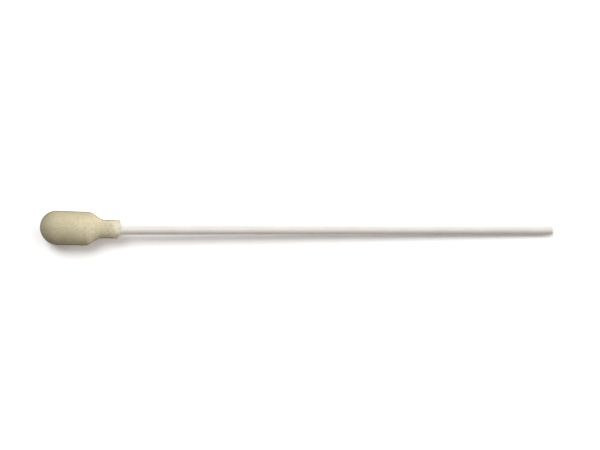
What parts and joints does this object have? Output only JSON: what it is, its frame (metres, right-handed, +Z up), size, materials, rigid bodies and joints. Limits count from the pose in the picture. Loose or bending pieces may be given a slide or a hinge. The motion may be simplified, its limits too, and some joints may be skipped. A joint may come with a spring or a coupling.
{
  "type": "foam-tipped swab",
  "caption": "Slim plastic stick with a soft bulb-shaped foam head welded round one end, for taking specimens from a surface or the body.",
  "frame": {"origin": "on the surface that the swab lies on, under the middle of its box", "axes": "+X from the foam head to the stick's far end, +Y across the head's sealed edges, +Z up"},
  "size_m": [0.15, 0.0102, 0.0086],
  "materials": {
    "foam": "fine open-celled foam, matt, cream",
    "plastic": "moulded polypropylene, semi-gloss, milky white"
  },
  "bodies": {
    "root": {"foam_head": "foam", "stick": "plastic"}
  },
  "joints": []
}
